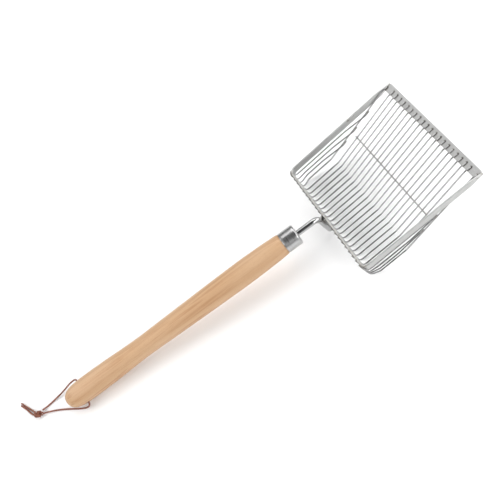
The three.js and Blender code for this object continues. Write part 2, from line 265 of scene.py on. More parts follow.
def lumps(name, spots, seed=1.0, dark=0.0):
    """Weld beads: spots = [(centre mm, (rx, ry, rz), x axis, y axis)]."""
    verts, faces, flow, tint = [], [], [], []
    bm = bmesh.new()
    bmesh.ops.create_icosphere(bm, subdivisions=2, radius=1.0)
    base = [v.co.copy() for v in bm.verts]
    bf = [tuple(v.index for v in f.verts) for f in bm.faces]
    bm.free()
    for i, (c, (rx, ry, rz), ex, ey) in enumerate(spots):
        ex = Vector(ex).normalized(); ey = Vector(ey); ey = (ey - ex * ey.dot(ex)).normalized(); ez = ex.cross(ey)
        o = len(verts)
        for v in base:
            k = 1 + 0.22 * noise.noise(v * 1.7 + Vector((i * 3.7 + seed, seed * 2.1, i * 1.3)))
            p = Vector(c) + ex * v.x * rx * k + ey * v.y * ry * k + ez * v.z * rz * k
            verts.append(p)
            flow.append((p.x + i * 3.0, p.y, p.z))
            tint.append(dark + 0.30 + 0.5 * max(0.0, noise.noise(v * 1.2 + Vector((i * 1.9, 0, seed)))))
        faces += [tuple(o + a for a in f) for f in bf]
    return new_mesh(name, verts, faces, flow, tint)


def finish_piece(ob, slot, material, *nodes):
    ob.data.materials.clear()
    ob.data.materials.append(material)
    if nodes:
        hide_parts(*nodes)
    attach(ob, "root")
    return ob


# ---------------------------------------------------------------- materials
class Mat:
    """A node material built by hand."""

    def __init__(self, name):
        self.m = bpy.data.materials.new(name)
        self.m.use_nodes = True
        self.t = self.m.node_tree
        self.t.nodes.clear()
        self.out = self.t.nodes.new("ShaderNodeOutputMaterial")
        self.b = self.t.nodes.new("ShaderNodeBsdfPrincipled")
        self.t.links.new(self.b.outputs[0], self.out.inputs[0])

    def attr(self, name):
        n = self.t.nodes.new("ShaderNodeAttribute"); n.attribute_name = name
        return n

    def mapped(self, source, scale, loc=(0, 0, 0)):
        n = self.t.nodes.new("ShaderNodeMapping")
        n.inputs["Scale"].default_value = scale
        n.inputs["Location"].default_value = loc
        self.t.links.new(source, n.inputs["Vector"])
        return n.outputs[0]

    def pos(self):
        return self.t.nodes.new("ShaderNodeTexCoord").outputs["Object"]

    def noise(self, vec, scale=1.0, detail=3.0, rough=0.5, dist=0.0):
        n = self.t.nodes.new("ShaderNodeTexNoise")
        n.inputs["Scale"].default_value = scale
        n.inputs["Detail"].default_value = detail
        n.inputs["Roughness"].default_value = rough
        n.inputs["Distortion"].default_value = dist
        self.t.links.new(vec, n.inputs["Vector"])
        return n.outputs[0]

    def ramp(self, fac, stops, mode="LINEAR"):
        n = self.t.nodes.new("ShaderNodeValToRGB")
        n.color_ramp.interpolation = mode
        while len(n.color_ramp.elements) < len(stops):
            n.color_ramp.elements.new(0.5)
        for e, (p, c) in zip(n.color_ramp.elements, stops):
            e.position = p
            e.color = (c, c, c, 1) if isinstance(c, (int, float)) else (*c, 1)
        self.t.links.new(fac, n.inputs[0])
        return n.outputs[0]

    def math(self, op, a, b=None, clamp=False):
        n = self.t.nodes.new("ShaderNodeMath"); n.operation = op; n.use_clamp = clamp
        for i, v in enumerate((a, b)):
            if v is None:
                continue
            if isinstance(v, (int, float)):
                n.inputs[i].default_value = v
            else:
                self.t.links.new(v, n.inputs[i])
        return n.outputs[0]

    def mix(self, fac, a, b, mode="MIX"):
        n = self.t.nodes.new("ShaderNodeMix"); n.data_type = "RGBA"; n.blend_type = mode
        for sock, v in ((n.inputs[0], fac), (n.inputs[6], a), (n.inputs[7], b)):
            if isinstance(v, (int, float)):
                sock.default_value = v
            elif isinstance(v, tuple):
                sock.default_value = (*v, 1)
            else:
                self.t.links.new(v, sock)
        return n.outputs[2]

    def set(self, name, v):
        s = self.b.inputs[name]
        if isinstance(v, (int, float)):
            s.default_value = v
        elif isinstance(v, tuple):
            s.default_value = (*v, 1) if len(v) == 3 else v
        else:
            self.t.links.new(v, s)

    def bump(self, height, strength, distance):
        n = self.t.nodes.new("ShaderNodeBump")
        n.inputs["Strength"].default_value = strength
        n.inputs["Distance"].default_value = distance
        self.t.links.new(height, n.inputs["Height"])
        self.t.links.new(n.outputs[0], self.b.inputs["Normal"])


def steel(name, light, dark, rough, line=(0.06, 9.0, 1.0), bump=0.12, spec_tint=(0.20, 0.15, 0.11), patch=0.10):
    """Worked steel: drawn or brushed lines along the piece, cloudy oxide, heat colour where tint is set, and painted
    shade where tint is set on the lip strip and the neck rod.
    """
    k = Mat(name)
    flow = k.attr("flow").outputs["Vector"]
    tint = k.attr("tint").outputs["Fac"]
    lines = k.noise(k.mapped(flow, line), 1.0, 4.0, 0.6)
    cloud = k.noise(k.mapped(k.pos(), (90, 90, 90)), 1.0, 3.0, 0.55)
    grit = k.noise(k.mapped(k.pos(), (900, 900, 900)), 1.0, 2.0, 0.5)
    base = k.mix(k.ramp(lines, [(0.30, 0.0), (0.72, 1.0)]), dark, light)
    base = k.mix(k.ramp(cloud, [(0.35, 0.0), (0.75, patch)]), base, (dark[0] * 0.75, dark[1] * 0.74, dark[2] * 0.72))
    # heat colour: straw, brown, then blue-grey and soot; the same ramp darkens the painted shade on the lip strip and
    # the neck rod
    darkening = k.ramp(k.math("ADD", tint, k.math("MULTIPLY", k.math("SUBTRACT", grit, 0.5), 0.25), True),
                  [(0.0, (1.0, 1.0, 1.0)), (0.22, (0.92, 0.90, 0.87)), (0.45, (0.66, 0.63, 0.59)),
                   (0.68, (0.36, 0.345, 0.335)), (1.0, (0.11, 0.105, 0.10))])
    # ground bright where tint is below zero
    # painted highlight: paler grey where tint is below zero, on the wire ends lying on the lip
    base = k.mix(k.math("MULTIPLY", tint, -1.0, True), base, (0.56, 0.56, 0.555))
    k.set("Base Color", k.mix(1.0, base, darkening, "MULTIPLY"))
    k.set("Metallic", 1.0)
    r = k.math("ADD", k.math("MULTIPLY", lines, 0.22), rough - 0.11)
    r = k.math("ADD", r, k.math("ABSOLUTE", k.math("MULTIPLY", tint, 0.30)))
    k.set("Roughness", k.math("ADD", r, k.math("MULTIPLY", cloud, 0.06), True))
    k.bump(k.math("ADD", k.math("MULTIPLY", lines, 0.7), k.math("MULTIPLY", grit, 0.3)), bump, 0.0002)
    return k.m


M_WIRE = steel("drawn_wire", (0.36, 0.36, 0.36), (0.21, 0.21, 0.21), 0.24, (0.10, 3.0, 3.0), 0.10)
M_RIM = steel("brushed_bar", (0.66, 0.66, 0.655), (0.45, 0.45, 0.445), 0.40, (0.05, 6.0, 1.0), 0.14)
M_LIP = steel("ground_bar", (0.58, 0.58, 0.576), (0.34, 0.34, 0.337), 0.55, (0.12, 5.0, 1.0), 0.18, patch=0.22)
M_ROD = steel("polished_rod", (0.55, 0.55, 0.55), (0.42, 0.42, 0.42), 0.15, (0.20, 2.0, 2.0), 0.05, patch=0.06)
M_FERRULE = steel("satin_ferrule", (0.58, 0.58, 0.58), (0.42, 0.42, 0.42), 0.27, (3.0, 0.05, 0.05), 0.10, patch=0.12)
M_WELD = steel("weld_bead", (0.50, 0.50, 0.49), (0.30, 0.295, 0.29), 0.46, (1.2, 1.2, 1.2), 0.6, patch=0.3)


def wood_material():
    k = Mat("turned_wood")
    loc = k.attr("flow").outputs["Vector"]      # across, up, along the handle, in mm
    wander = k.noise(k.mapped(loc, (0.03, 0.03, 0.006)), 1.0, 2.0, 0.5)
    # growth rings of a tree whose heart lies off to one side, cut along its length
    rings = k.t.nodes.new("ShaderNodeTexWave")
    rings.wave_type, rings.rings_direction, rings.wave_profile = "RINGS", "Z", "SAW"
    rings.inputs["Scale"].default_value = 0.055
    rings.inputs["Distortion"].default_value = 2.2
    rings.inputs["Detail"].default_value = 2.0
    rings.inputs["Detail Scale"].default_value = 0.6
    k.t.links.new(k.mapped(loc, (1.0, 1.0, 0.035), (26.0, 31.0, 0.0)), rings.inputs["Vector"])
    streak = k.noise(k.mapped(loc, (0.30, 0.30, 0.0075)), 1.0, 4.0, 0.6, 0.4)
    fine = k.noise(k.mapped(loc, (3.2, 3.2, 0.045)), 1.0, 3.0, 0.6)
    pores = k.noise(k.mapped(loc, (5.5, 5.5, 0.22)), 1.0, 2.0, 0.5)
    patches = k.noise(k.mapped(loc, (0.05, 0.05, 0.012)), 1.0, 2.0, 0.5)
    base = k.mix(k.ramp(rings.outputs[1], [(0.0, 0.0), (0.8, 0.75), (1.0, 1.0)]), (0.593, 0.382, 0.220), (0.498, 0.294, 0.154))
    base = k.mix(k.ramp(streak, [(0.50, 0.0), (0.64, 0.85)]), base, (0.432, 0.232, 0.109))
    base = k.mix(k.ramp(fine, [(0.35, 0.30), (0.60, 0.0)]), base, (0.531, 0.320, 0.168))
    base = k.mix(k.ramp(patches, [(0.42, 0.0), (0.66, 0.5)]), base, (0.614, 0.412, 0.254))
    base = k.mix(k.ramp(pores, [(0.60, 0.0), (0.70, 0.42)]), base, (0.349, 0.188, 0.086))
    # darker in and round the lanyard hole and at the wood's front end by the ferrule
    base = k.mix(k.math("MULTIPLY", k.attr("tint").outputs["Fac"], 0.75), base, (0.235, 0.130, 0.070))
    k.set("Base Color", base)
    k.set("Roughness", k.math("ADD", k.math("MULTIPLY", fine, 0.18), 0.40))
    k.set("Coat Weight", 0.12)
    k.set("Coat Roughness", 0.28)
    k.set("Specular IOR Level", 0.4)
    h = k.math("ADD", k.math("MULTIPLY", pores, -0.6), k.math("MULTIPLY", fine, 0.5))
    k.bump(k.math("ADD", h, k.math("MULTIPLY", wander, 0.4)), 0.20, 0.0003)
    return k.m


def leather_material():
    k = Mat("leather_cord")
    flow = k.attr("flow").outputs["Vector"]
    creases = k.noise(k.mapped(flow, (1.7, 0.45, 1.0)), 1.0, 3.0, 0.65, 0.6)
    grain = k.noise(k.mapped(k.pos(), (1500, 1500, 1500)), 1.0, 3.0, 0.6)
    wear = k.noise(k.mapped(flow, (0.12, 0.3, 1.0)), 1.0, 2.0, 0.5)
    base = k.mix(k.ramp(creases, [(0.35, 0.0), (0.70, 1.0)]), (0.150, 0.050, 0.032), (0.300, 0.110, 0.070))
    base = k.mix(k.ramp(wear, [(0.50, 0.0), (0.72, 0.45)]), base, (0.420, 0.170, 0.105))
    k.set("Base Color", base)
    k.set("Roughness", k.math("ADD", k.math("MULTIPLY", grain, 0.25), 0.50))
    k.set("Specular IOR Level", 0.35)
    k.bump(k.math("ADD", k.math("MULTIPLY", creases, 0.6), k.math("MULTIPLY", grain, 0.4)), 0.5, 0.0003)
    return k.m


M_WOOD = wood_material()
M_CORD = leather_material()

# ---------------------------------------------------------------- lanyard (first of all pieces)
HOLE_MID = axis_at(FERRULE_BACK + HOLE_AT)
_h = math.radians(HOLE_TURN)
HOLE_DIR = Vector((1, 0, 0)) * math.cos(_h) - AX_UP * math.sin(_h)


def hole_at(d):
    return HOLE_MID + HOLE_DIR * d


LEG_L = [hole_at(-15.6), hole_at(-17.8), (-19.6, -270.0, 20.5), (-21.7, -276.3, 17.1), (-23.6, -285.0, 11.9),
         (-24.4, -295.1, 6.5), (-24.1, -306.3, 2.8), (-22.8, -317.5, 1.4), (-21.1, -327.2, 1.4), (-19.3, -336.5, 3.0)]
LEG_R = [hole_at(15.6), hole_at(17.2), (18.1, -268.5, 7.3), (17.3, -272.4, 4.4), (14.9, -277.9, 2.1), (10.8, -285.3, 1.3),
         (5.1, -295.0, 1.2), (-2.1, -307.2, 1.2), (-8.2, -319.4, 1.4), (-12.2, -329.7, 2.0), (-14.2, -337.1, 3.2)]
TAIL_1 = [(-22.6, -347.7, 3.2), (-26.6, -350.5, 2.0), (-32.2, -354.3, 1.3), (-39.0, -358.9, 1.2), (-49.3, -365.6, 1.2)]
TAIL_2 = [(-19.6, -349.9, 3.0), (-22.9, -352.9, 1.9), (-28.2, -356.3, 1.3), (-35.5, -359.9, 1.2), (-46.1, -366.7, 1.2)]

lines = {n: spline(p, k) for n, p, k in (("lanyard_leg_left", LEG_L, 36), ("lanyard_leg_right", LEG_R, 38),
                                         ("lanyard_tail_1", TAIL_1, 18), ("lanyard_tail_2", TAIL_2, 18))}
cords = {}
for i, (n, pts) in enumerate(lines.items()):
    ob = tube(n + "_cord", pts, CORD_R, 16, wobble=0.05, seed=1.0 + i, dome=("tail" in n))
    finish_piece(ob, "lanyard_leather", M_CORD, n)
    cords[n] = ob
inside = tube("lanyard_bore_cord", resample([hole_at(-15.55), hole_at(15.55)], 1.0), CORD_R, 16, wobble=0.03, seed=8.0, dome=False)
finish_piece(inside, "lanyard_leather", M_CORD, "lanyard_in_hole")

# the knot: both strands run through, and one end is wrapped round them and tucked
KNOT, K_DIR = Vector((-17.0, -343.4, 4.6)), Vector((-0.42, -0.90, 0.0)).normalized()
K_SIDE = Vector((0, 0, 1)).cross(K_DIR).normalized()
K_UP = Vector((0, 0, 1))


def knot_point(along, side, h):
    return KNOT + K_DIR * along + K_SIDE * side + K_UP * h


wrap = []
turns = 2.35
for i in range(57):
    w = i / 56
    a = 2 * math.pi * turns * w - 0.6
    side = 3.55 * math.cos(a)
    h = 2.75 * math.sin(a)
    wrap.append(knot_point(-3.3 + 6.4 * w + 0.75 * math.sin(a + 0.8), side, h - 0.35))
strand_a = [(-7.0, -1.6, -1.4), (-4.0, -1.3, -0.7), (0.0, -1.05, -0.3), (4.0, -1.1, -0.7), (7.0, -1.7, -1.5)]
strand_b = [(-7.0, 1.6, -1.3), (-4.0, 1.35, -0.7), (0.0, 1.15, -0.2), (4.0, 1.2, -0.7), (7.2, 1.9, -1.7)]
tuck = [(-4.2, 2.3, 1.2), (-2.6, 3.6, 2.2), (0.2, 2.8, 3.3), (2.6, 0.2, 3.45), (4.4, -2.4, 2.1), (5.2, -3.4, 0.2)]
parts = []
for i, (n, pts, k) in enumerate((("wrap", wrap, 90), ("a", [knot_point(*p) for p in strand_a], 24),
                                 ("b", [knot_point(*p) for p in strand_b], 24), ("tuck", [knot_point(*p) for p in tuck], 30))):
    parts.append(tube("lanyard_knot_" + n, spline(pts, k), CORD_R * (0.98 if n in "ab" else 1.0), 14, wobble=0.06, seed=20.0 + i))
for o in bpy.context.view_layer.objects:
    o.select_set(False)
for o in parts:
    o.select_set(True)
bpy.context.view_layer.objects.active = parts[0]
bpy.ops.object.join()
knot = parts[0]
knot.name = "lanyard_knot_cord"
finish_piece(knot, "lanyard_leather", M_CORD, "lanyard_knot")


for n, ob in cords.items():
    pts = lines[n]

# ---------------------------------------------------------------- basket wires
def near(points, r0, r1):
    """Heat colour that fades with distance from weld points."""
    P = [place(p) for p in points]

    def f(q):
        d = min((q - p).length for p in P)
        return 1.0 - smoothstep(r0, r1, d)
    return f


def ramp_slope(knee):
    return (DEPTH + LIP_WIRE_Z) / (LIP_IN - 2.2 - knee)


def bottom_wire(x, knee, end=WIRE_END_Y):
    return route([((x, BACK_Y, -0.4),), ((x, BACK_Y, -DEPTH), HEEL_R, 8), ((x, knee, -DEPTH), 6, 6),
                  ((x, LIP_IN - 2.2, LIP_WIRE_Z), 8, 6), ((x, end, LIP_WIRE_Z),)])


def to_frame(points, step=2.2):
    return [place(p) for p in resample(points, step)]


slope = ramp_slope(KNEE_Y)
lift = 2 * WIRE_R + 0.25
nn = math.hypot(1, slope)
cross_y, cross_z = CROSS_Y - lift * slope / nn, -DEPTH + (CROSS_Y - KNEE_Y) * slope + lift / nn
lip_ends, rim_ends, cross_spots = [], [], []
for i in range(INNER):
    x = (i - (INNER - 1) / 2) * PITCH
    # hand-laid wires: each stops a little short or long on the lip
    end = WIRE_END_Y - 0.5 * abs(noise.noise(Vector((i * 1.7, 3.1, 0))))
    pts = bottom_wire(x, KNEE_Y, end)
    darkening = near([(x, BACK_Y, -2.0), (x, CROSS_Y, cross_z - 1.9)], 0.6, 3.0)
    # below zero on the lip: painted highlight, the wire ends there are drawn paler
    tint = lambda q, darkening=darkening: 0.45 * darkening(q) - smoothstep(LIP_IN - 0.5, LIP_IN + 0.6, unplace_y(q))
    ob = tube("wire_bottom_%02d" % (i + 1), to_frame(pts), WIRE_R, 14, tint, 0.02, 30.0 + i)
    finish_piece(ob, "basket_wire", M_WIRE, "bottom_wire_%02d" % (i + 1))
    lip_ends.append((x, end)); rim_ends.append((x, BACK_Y)); cross_spots.append(x)

corner_c = RIM_HALF - RIM_R


def corner_point(side, ang):
    r = RIM_R + 0.3 + WIRE_R
    return side * (corner_c + r * math.sin(math.radians(ang))), -1 + RIM_R - r * math.cos(math.radians(ang))


side_spots = []
for label, side in (("left", -1), ("right", 1)):
    ex, ey = corner_point(side, EDGE_ANG)
    end = WIRE_END_Y - 1.5
    pts = route([((ex, ey, -0.4),), ((ex, ey, -DEPTH), HEEL_R, 8), ((side * EDGE_X, ey + 12, -DEPTH), 10, 4),
                 ((side * EDGE_X, EDGE_KNEE_Y, -DEPTH), 6, 6), ((side * EDGE_X, LIP_IN - 2.2, LIP_WIRE_Z), 8, 6),
                 ((side * EDGE_X, end, LIP_WIRE_Z),)])
    es = ramp_slope(EDGE_KNEE_Y)
    welds = [(side * EDGE_X, end - 1, LIP_WIRE_Z), (ex, ey, -2.0)]
    welds += [(side * EDGE_X, EDGE_KNEE_Y + (z + DEPTH) / es + 4.5, z + 4.0 * es) for z in SIDE_Z]
    # below zero on the lip: painted highlight, the wire ends there are drawn paler
    ob = tube("wire_bottom_%s_edge" % label, to_frame(pts), WIRE_R, 14, (lambda q, f=near(welds[1:], 0.6, 3.0): 0.4 * f(q) - smoothstep(LIP_IN - 0.5, LIP_IN + 0.6, unplace_y(q))), 0.02, 60.0 + side)
    finish_piece(ob, "basket_wire", M_WIRE, "bottom_wire_%s_edge" % label)
    lip_ends.append((side * EDGE_X, end)); rim_ends.append((ex, ey))
    for k, z in enumerate(SIDE_Z):
        sx, sy = corner_point(side, SIDE_ANG[k])
        end_y = EDGE_KNEE_Y + (z + DEPTH) / es
        in_x = EDGE_X - 2 * WIRE_R - 0.3
        pts = route([((sx, sy, -0.4),), ((sx, sy, z), HEEL_R, 8), ((side * (EDGE_X + 1), sy + 14, z), 10, 4),
                     ((side * (EDGE_X + 1), end_y - 34, z), 40, 4), ((side * in_x, end_y + 1, z), 4, 4),
                     ((side * in_x, end_y + 7.5, z + 6.5 * es),)])
        ob = tube("wire_side_%s_%d" % (label, k + 1), to_frame(pts), WIRE_R, 14,
                  (lambda q, f=near([(sx, sy, -2.0), (side * in_x, end_y + 5, z + 4 * es)], 0.6, 3.0): 0.4 * f(q)), 0.02, 70.0 + side * 5 + k)
        finish_piece(ob, "basket_wire", M_WIRE, "side_wire_%s_%d" % (label, k + 1))
        rim_ends.append((sx, sy))
        side_spots.append((side * (EDGE_X - 0.98), end_y + 4.6, z + 4.0 * es, es))

ob = tube("wire_cross", to_frame([Vector((-CROSS_HALF, cross_y, cross_z)), Vector((CROSS_HALF, cross_y, cross_z))], 1.3), WIRE_R, 14,
          (lambda q, f=near([(x, cross_y, cross_z) for x in cross_spots], 0.5, 2.2): 0.3 * f(q)), 0.02, 90.0)
finish_piece(ob, "basket_wire", M_WIRE, "cross_wire")

# ---------------------------------------------------------------- welds on the wires
RX, RY, RZ = Vector((1, 0, 0)), turn((0, 1, 0)), turn((0, 0, 1))
spots = []
for i, (x, end) in enumerate(lip_ends):
    w = noise.noise(Vector((i * 2.3, 0.7, 0)))
    spots.append((place((x + 0.3 + 0.5 * w, end + 0.2, LIP_TOP + 0.45)), (0.85 + 0.3 * w, 0.70, 0.50), RX, RY))
    spots.append((place((x + 0.75, end - 2.4 + 1.5 * w, LIP_TOP + 0.1)), (0.35, 0.9, 0.3), RX, RY))
finish_piece(lumps("welds_lip", spots, 2.0, 0.45), "basket_wire", M_WELD)
spots = []
for i, (x, y) in enumerate(rim_ends):
    w = noise.noise(Vector((i * 1.9, 5.7, 0)))
    # on the top edge of the rim, between the wire's end and the bar
    dx = (x - math.copysign(corner_c, x)) if abs(x) > corner_c else 0.0
    dy = y - (-1 + RIM_R)
    q = Vector((dx, dy)).normalized()
    spots.append((place((x - q.x * 1.0, y - q.y * 1.0, -0.75 + 0.15 * w)), (1.15 + 0.2 * w, 0.95, 0.72), RX, RY))
    spots.append((place((x - q.x * 0.85, y - q.y * 0.85, -8.6 + 0.3 * w)), (0.95, 0.62, 1.0), RX, RY))
finish_piece(lumps("welds_rim", spots, 3.0), "basket_wire", M_WELD)
spots = [(place((x + 0.15, CROSS_Y - 1.05 * slope / nn, -DEPTH + (CROSS_Y - KNEE_Y) * slope + 1.05 / nn)), (0.85, 0.85, 0.45), RX, turn((0, 1, slope))) for x in cross_spots]
finish_piece(lumps("welds_cross", spots, 4.0), "basket_wire", M_WELD)
spots = [(place((x, y, z)), (0.55, 2.0, 0.7), RX, turn((0, 1, es_))) for x, y, z, es_ in side_spots]
finish_piece(lumps("welds_side", spots, 5.0), "basket_wire", M_WELD)


# ---------------------------------------------------------------- rim band
def band_section(y_top, y_bottom, t, r):
    """Rounded section of the flat bar: (inward, up) corners."""
    r = min(r, (y_top - y_bottom) * 0.4, t * 0.4)
    out = []
    for cx, cy, a0 in ((t - r, y_top - r, 0), (r, y_top - r, 90), (r, y_bottom + r, 180), (t - r, y_bottom + r, 270)):
        for k in range(4):
            a = math.radians(a0 + 30 * k)
            out.append((cx + r * math.cos(a), cy + r * math.sin(a)))
    # extra points down both faces
    full = []
    for i, p in enumerate(out):
        q = out[(i + 1) % len(out)]
        full.append(p)
        d = math.hypot(q[0] - p[0], q[1] - p[1])
        n = int(d / 1.3)
        for k in range(1, n + 1):
            w = k / (n + 1)
            full.append((p[0] + (q[0] - p[0]) * w, p[1] + (q[1] - p[1]) * w))
    return full


path = []
c = RIM_HALF - RIM_R
ys = [RIM_LEN - k * 1.0 for k in range(int(RIM_TAPER) + 1)]
k = RIM_LEN - RIM_TAPER - 2.5
while k > RIM_R:
    ys.append(k); k -= 2.5
for y in ys:
    path.append((-RIM_HALF, y, -1.0, 0.0))
for k in range(13):
    a = math.radians(180 + 90 * k / 12)
    path.append((-c + RIM_R * math.cos(a), -1 + RIM_R + RIM_R * math.sin(a), math.cos(a), math.sin(a)))
for k in range(1, 67):
    path.append((-c + 2 * c * k / 67, -1.0, 0.0, -1.0))
for k in range(13):
    a = math.radians(270 + 90 * k / 12)
    path.append((c + RIM_R * math.cos(a), -1 + RIM_R + RIM_R * math.sin(a), math.cos(a), math.sin(a)))
for y in reversed(ys):
    path.append((RIM_HALF, y, 1.0, 0.0))
weld_points = [Vector((x - 0.5 * math.copysign(1, x) * (abs(x) > c), y + 1.2, -0.8)) for x, y in rim_ends]
weld_points += [Vector((s * (RIM_HALF - 1), 161.0, -4.0)) for s in (-1, 1)] + [Vector((s * (RIM_HALF - 1), 167.5, -4.0)) for s in (-1, 1)]
seam = Vector((-RIM_HALF + RIM_T, 100.0, -1.5))
verts, flow, tint, faces = [], [], [], []
run, count = 0.0, None
for i, (x, y, nx, ny) in enumerate(path):
    if i:
        run += math.hypot(x - path[i - 1][0], y - path[i - 1][1])
    w = min(1.0, max(0.0, (RIM_LEN - y) / RIM_TAPER))
    top = (LIP_TOP + 0.1) * (1 - w)
    bottom = (LIP_TOP - LIP_T - 0.6) * (1 - w) - RIM_H * w
    # the section keeps its number of points, so it is made once and scaled
    if count is None:
        unit = band_section(0.0, -RIM_H, RIM_T, 0.45)
        count = len(unit)
    for (q, h) in unit:
        hh = top + (top - bottom) * (h / RIM_H)
        if 0.0 < w < 1.0 or w == 0.0:
            edge = 0.45 * (1 - (top - bottom) / RIM_H)
            hh = min(top, max(bottom, hh + (edge * 0.0)))
        # the bar is slightly wavy on its inner face from cold bending
        soft = 0.08 * noise.noise(Vector((run * 0.05, h * 0.2, 1.3)))
        qq = q + (soft if 0.2 < q < RIM_T - 0.2 or q >= RIM_T - 0.2 else 0.0)
        p = Vector((x - nx * qq, y - ny * qq, hh))
        verts.append(place(p))
        flow.append((run, h * 1.0, q * 1.0))
        d = min((p - s).length for s in weld_points)
        tt = 0.5 * (1 - smoothstep(0.6, 2.4, d))
        if ny < -0.3:
            tt = max(tt, 0.55 * (1 - smoothstep(0.4, 2.0, abs(h))) * max(0.0, 0.35 + 0.9 * noise.noise(Vector((x * 0.35, 0, 0)))))
        ds = max(abs(p.y - seam.y) / 2.0, abs(p.z - seam.z) / 2.6, abs(p.x - seam.x) / 1.6)
        tt = max(tt, 0.5 * (1 - smoothstep(0.4, 1.3, ds)))
        tint.append(max(0.0, tt))
for i in range(len(path) - 1):
    for k in range(count):
        k2 = (k + 1) % count
        faces.append((i * count + k, i * count + k2, (i + 1) * count + k2, (i + 1) * count + k))
faces.append(tuple(range(count)))
faces.append(tuple((len(path) - 1) * count + k for k in range(count)))
finish_piece(new_mesh("rim_flat_bar", verts, faces, flow, tint, sharp_deg=40), "rim_steel", M_RIM, "rim_band")
# a dressed weld where the bar was closed, on the left rail
finish_piece(lumps("weld_rim_seam", [(place((-RIM_HALF + RIM_T - 0.05, 100.0, -1.6)), (0.28, 1.25, 1.5), RX, RY)], 6.0), "rim_steel", M_WELD)

# ---------------------------------------------------------------- lip strip
prof = []
r = 0.42
z0, z1 = LIP_TOP - LIP_T, LIP_TOP
for cy, cz, a0 in ((LIP_OUT - r, z1 - r, 0), (LIP_IN + r, z1 - r, 90), (LIP_IN + r, z0 + r, 180), (LIP_OUT - r, z0 + r, 270)):
    for k in range(4):
        a = math.radians(a0 + 30 * k)
        prof.append((cy + r * math.cos(a), cz + r * math.sin(a)))
    if a0 == 0:
        prof += [(cy + (LIP_IN + r - cy) * k / 22, z1) for k in range(1, 22)]
    if a0 == 180:
        prof += [(LIP_IN + r + (LIP_OUT - r - LIP_IN - r) * k / 7, z0) for k in range(1, 7)]
xs = [-LIP_HALF + 0.0, -LIP_HALF + 0.12, -LIP_HALF + 0.4, -LIP_HALF + 0.8, -LIP_HALF + 1.2]
n = 300
xs += [-LIP_HALF + 1.2 + (2 * LIP_HALF - 2.4) * k / n for k in range(1, n)]
xs += [-x for x in reversed(xs[:5])]
ends_sorted = sorted(lip_ends)
verts, flow, tint, faces = [], [], [], []
for i, x in enumerate(xs):
    e = LIP_HALF - abs(x)
    y_max = LIP_OUT - max(0.0, 1.2 - e)
    inset = 0.18 * (1 - smoothstep(0.0, 0.35, e))
    wx, wend = min(ends_sorted, key=lambda q: abs(q[0] - x))
    for (y, z) in prof:
        yy = LIP_IN + (y - LIP_IN) * (y_max - LIP_IN) / (LIP_OUT - LIP_IN)
        zz = z + (inset if z < (z0 + z1) / 2 else -inset)
        yy = yy + (inset if y < (LIP_IN + LIP_OUT) / 2 else -inset)
        verts.append(place((x, yy, zz)))
        flow.append((x, yy, zz))
        tt = 0.0
        if z > z0 + 0.6:
            wob = 0.25 * noise.noise(Vector((x * 0.9, y * 0.7, 2.0)))
            # the weld at the wire's end with painted shade round it, the wire's painted shadow along it, and the tack
            # on the inner edge
            own = noise.noise(Vector((wx * 0.77, 4.0, 1.0)))
            # a dark crescent round the wire's end, painted partly as weld burn and partly as the wire end's shadow, and
            # a painted shadow line down one side of it
            d1 = math.hypot(x - wx - 0.35 * own, (y - wend) * 0.9)
            tt = max(tt, (0.80 + 0.6 * own) * (1.0 - smoothstep(0.20, 0.60, abs(d1 - 1.25) + wob)) * (y > wend - 0.5))
            d2 = abs(x - wx - 1.15)
            if wend - 4.2 + 2.0 * own < y < wend:
                tt = max(tt, (0.50 + 0.8 * own) * (1.0 - smoothstep(0.25, 0.7, d2 + wob)))
            d3 = math.hypot((x - wx) * 0.8, y - LIP_IN - 0.4)
            tt = max(tt, (0.35 + 0.8 * noise.noise(Vector((wx * 1.3, 9.0, 0)))) * (1.0 - smoothstep(0.9, 1.9, d3 + wob)))
            # painted shade: a dark patch at the left end of the strip, standing in for the shaded face of a bent-up end
            # tab
            if x < 0:
                tt = max(tt, 0.9 * (1.0 - smoothstep(1.0, 4.5, math.hypot(e, (y - LIP_IN - 1.5) * 0.7) + wob)))
        tint.append(max(0.0, min(1.0, tt)))
m_ = len(prof)
for i in range(len(xs) - 1):
    for k in range(m_):
        k2 = (k + 1) % m_
        faces.append((i * m_ + k, i * m_ + k2, (i + 1) * m_ + k2, (i + 1) * m_ + k))
faces.append(tuple(range(m_)))
faces.append(tuple((len(xs) - 1) * m_ + k for k in range(m_)))
finish_piece(new_mesh("lip_flat_strip", verts, faces, flow, tint, sharp_deg=40), "lip_steel", M_LIP, "lip_strip")
spots = []
for s in (-1, 1):
    for y in (160.6, 163.4, 166.2):
        w = noise.noise(Vector((s * 3.0, y * 0.4, 0)))
        spots.append((place((s * (RIM_HALF - RIM_T - 0.35), y, LIP_TOP - 0.1 + 0.1 * w)), (0.75, 1.7, 0.5), RX, RY))
finish_piece(lumps("welds_lip_ends", spots, 7.0), "lip_steel", M_WELD)

